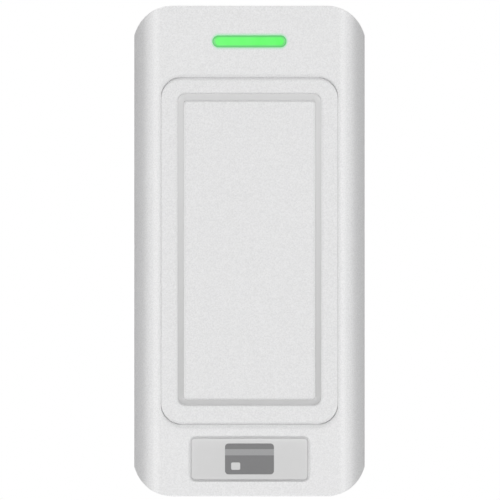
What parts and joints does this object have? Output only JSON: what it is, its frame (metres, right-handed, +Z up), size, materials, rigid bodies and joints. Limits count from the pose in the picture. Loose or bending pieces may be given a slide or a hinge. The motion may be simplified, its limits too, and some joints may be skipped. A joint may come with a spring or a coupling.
{
  "type": "rfid card reader",
  "caption": "Slim wall-mounted RFID card reader: a moulded housing that hooks onto a steel wall plate and tilts off it, with antenna window, status bar and badge.",
  "frame": {"origin": "centre of the wall plate's back face, on the wall", "axes": "+Y into the wall, -Y out of the reading face, +X to the right seen from the front, +Z up"},
  "size_m": [0.0486, 0.023, 0.103],
  "materials": {
    "housing": "moulded, fine spark-eroded grain",
    "ring": "moulded, smooth satin",
    "status_light": "clear diffusing light guide, lit green",
    "badge": "smooth satin with a printed card pictogram",
    "rear_plastic": "moulded, satin",
    "rubber": "matt",
    "zinc_steel": "zinc plated",
    "screw_steel": "bright machine screw",
    "board": "glass-epoxy laminate with green solder mask",
    "natural_plastic": "natural nylon",
    "copper": "enamelled copper wire",
    "chip": "black moulding compound",
    "can": "drawn can",
    "lamp": "small surface-mount lamp"
  },
  "bodies": {
    "mounting": {"wall_plate": "zinc_steel"},
    "reader": {"front_cover": "housing", "fascia": "housing", "ring_inlay": "ring", "status_light_pipe": "status_light", "badge_plate": "badge", "rear_cover": "rear_plastic", "rear_gasket": "rubber", "cable_grommet": "rubber", "plunger_seal": "rubber", "rear_cover_screw_1": "screw_steel", "rear_cover_screw_2": "screw_steel", "rear_cover_screw_3": "screw_steel", "rear_cover_screw_4": "screw_steel", "circuit_board": "board", "board_screw_1": "screw_steel", "board_screw_2": "screw_steel", "board_screw_3": "screw_steel", "board_screw_4": "screw_steel", "coil_former": "natural_plastic", "antenna_coil": "copper", "microcontroller": "chip", "rf_chip": "chip", "crystal": "can", "voltage_regulator": "chip", "buzzer": "chip", "wire_header": "natural_plastic", "tamper_switch": "chip", "status_led_1": "lamp", "status_led_2": "lamp", "status_led_3": "lamp", "capacitor_1": "can", "capacitor_2": "can"},
    "screw": {"clamp_screw": "screw_steel"},
    "nut": {"clamp_nut": "zinc_steel"},
    "plunger": {"tamper_plunger": "natural_plastic"}
  },
  "joints": [
    {"name": "hook_tilt", "type": "hinge", "parent": "mounting", "child": "reader", "pos_m": [0, -0.0026, 0.048], "axis": [-1, 0, 0], "range_deg": [0, 14]},
    {"name": "clamp_screw_turn", "type": "hinge", "parent": "reader", "child": "screw", "pos_m": [0, -0.012, -0.05], "axis": [0, 0, -1], "range_deg": [0, 1080]},
    {"name": "clamp_nut_travel", "type": "slide", "parent": "reader", "child": "nut", "axis": [0, 0, 1], "range_m": [0, 0.0015]},
    {"name": "tamper_press", "type": "slide", "parent": "reader", "child": "plunger", "axis": [0, -1, 0], "range_m": [0, 0.0012], "stiffness_N_per_m": 150, "springref_m": -0.0008}
  ],
  "couplings": [
    {"joint": "clamp_screw_turn", "follows": "clamp_nut_travel", "rad_per_m": 12566}
  ]
}
